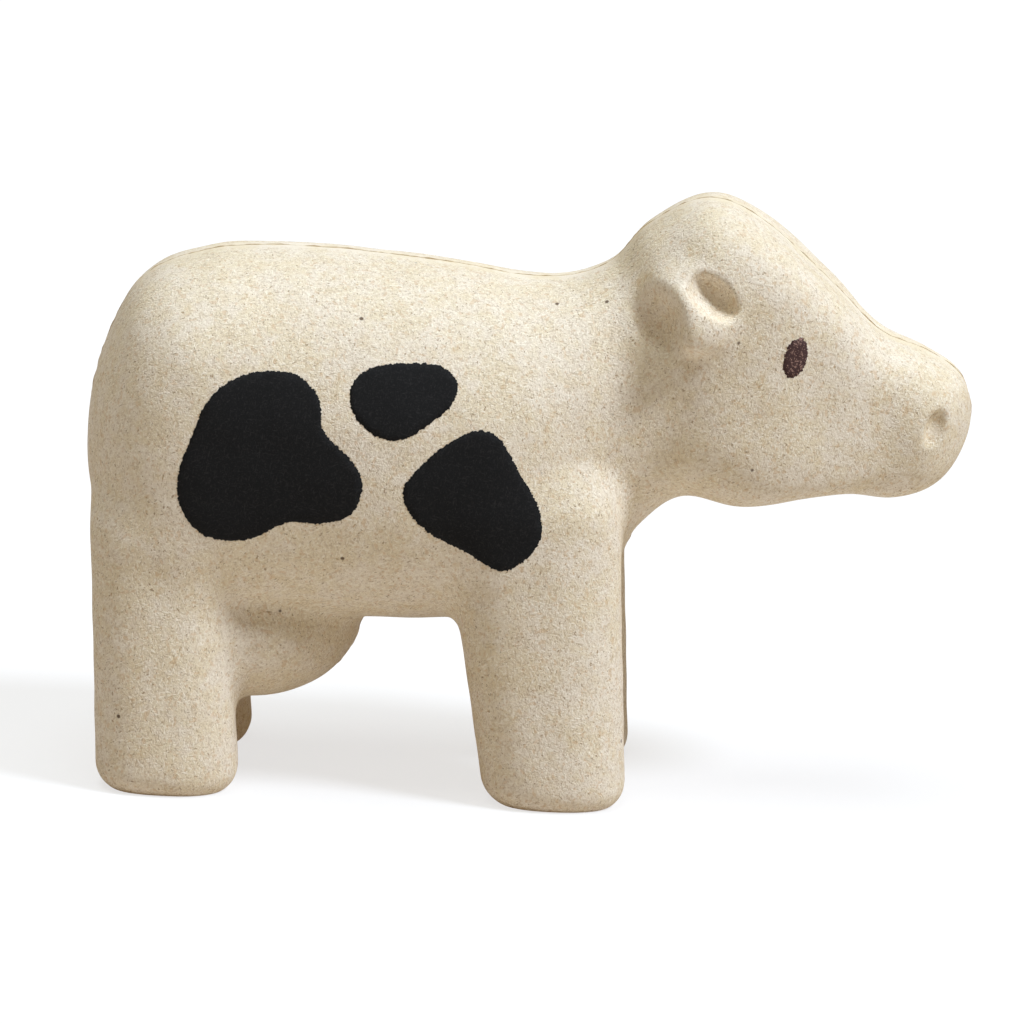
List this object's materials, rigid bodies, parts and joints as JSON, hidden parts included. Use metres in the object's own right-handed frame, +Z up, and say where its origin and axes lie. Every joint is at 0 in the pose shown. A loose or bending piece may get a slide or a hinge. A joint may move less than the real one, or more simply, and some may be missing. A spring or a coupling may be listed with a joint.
{
  "type": "toy cow",
  "caption": "Small standing toy cow of moulded wood fibre, made of glued left and right halves, with printed black patches and brown eyes.",
  "frame": {"origin": "middle of the object's box, on the ground between the four feet", "axes": "+X to the cow's nose, +Y to the cow's left, +Z up"},
  "size_m": [0.0997, 0.039, 0.0678],
  "materials": {
    "wood_fibre": "matte moulded wood fibre with fine brown flecks",
    "glue": "dried wood glue, sanded flush",
    "dowel_wood": "plain turned hardwood",
    "black_paint": "matte black printed paint",
    "brown_paint": "matte dark brown printed paint"
  },
  "bodies": {
    "root": {"body_half_left": "wood_fibre", "body_half_right": "wood_fibre", "centre_glue_line": "glue", "dowel_rump": "dowel_wood", "dowel_shoulder": "dowel_wood", "patch_rear_left": "black_paint", "patch_saddle_left": "black_paint", "patch_shoulder_left": "black_paint", "eye_left": "brown_paint", "patch_rear_right": "black_paint", "patch_saddle_right": "black_paint", "patch_shoulder_right": "black_paint", "eye_right": "brown_paint"}
  },
  "joints": []
}
